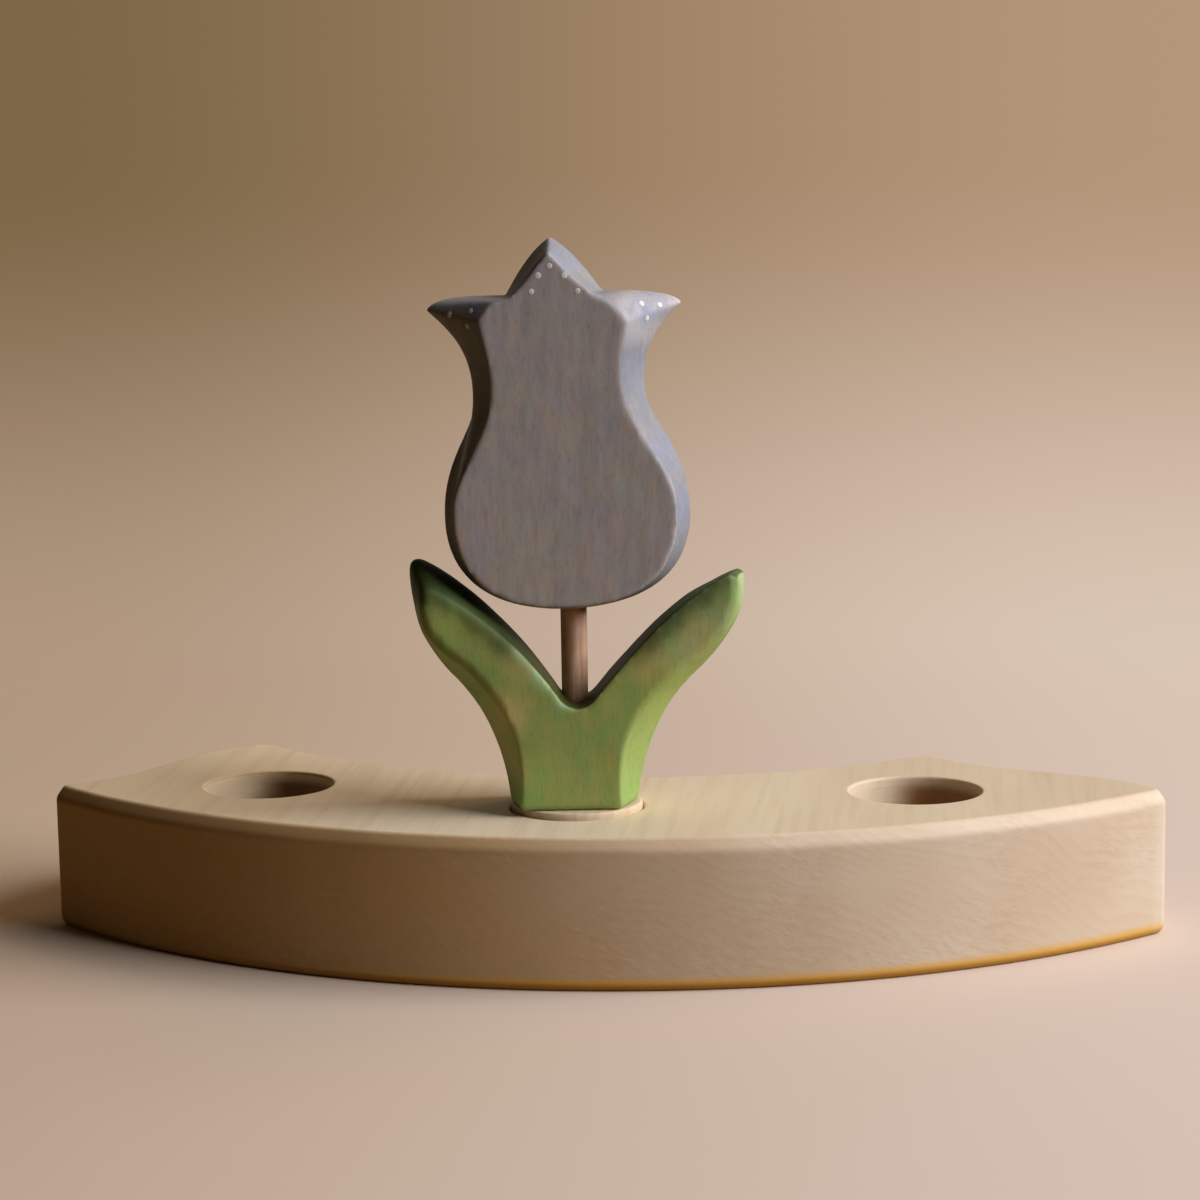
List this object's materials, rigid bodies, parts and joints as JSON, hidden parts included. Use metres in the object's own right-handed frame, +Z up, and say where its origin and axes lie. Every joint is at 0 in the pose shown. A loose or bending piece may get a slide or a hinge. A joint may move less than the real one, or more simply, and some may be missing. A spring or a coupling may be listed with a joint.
{
  "type": "plug-in wooden tulip on a ring-segment stand",
  "caption": "Sawn and stained wooden tulip with a V-shaped leaf block and dowel stem, whose peg lifts out of and turns in a socket of a curved ring-segment stand with waved, nesting ends.",
  "frame": {"origin": "foot of the middle socket's axis on the stand's underside", "axes": "+Z up along the sockets, +X along the stand's length, -Y towards the stand's round outside and the tulip's face"},
  "size_m": [0.1539, 0.0617, 0.0957],
  "materials": {
    "pale_wood": "fine-sanded pale wood, oiled",
    "peg_wood": "turned pale wood",
    "stem_wood": "brown-stained dowel",
    "green_stain": "green watercolour stain on wood",
    "mauve_stain": "grey-mauve watercolour stain on wood"
  },
  "bodies": {
    "stand": {"ring_segment": "pale_wood"},
    "peg_and_stem": {"peg": "peg_wood", "stem": "stem_wood"},
    "flower": {"leaf_pair": "green_stain", "bloom": "mauve_stain"}
  },
  "joints": [
    {"name": "tulip_lift", "type": "slide", "parent": "stand", "child": "peg_and_stem", "axis": [0, 0, 1], "range_m": [0, 0.03]},
    {"name": "tulip_turn", "type": "hinge", "parent": "peg_and_stem", "child": "flower", "pos_m": [0, 0, 0.034], "axis": [0, 0, 1], "continuous": true}
  ]
}
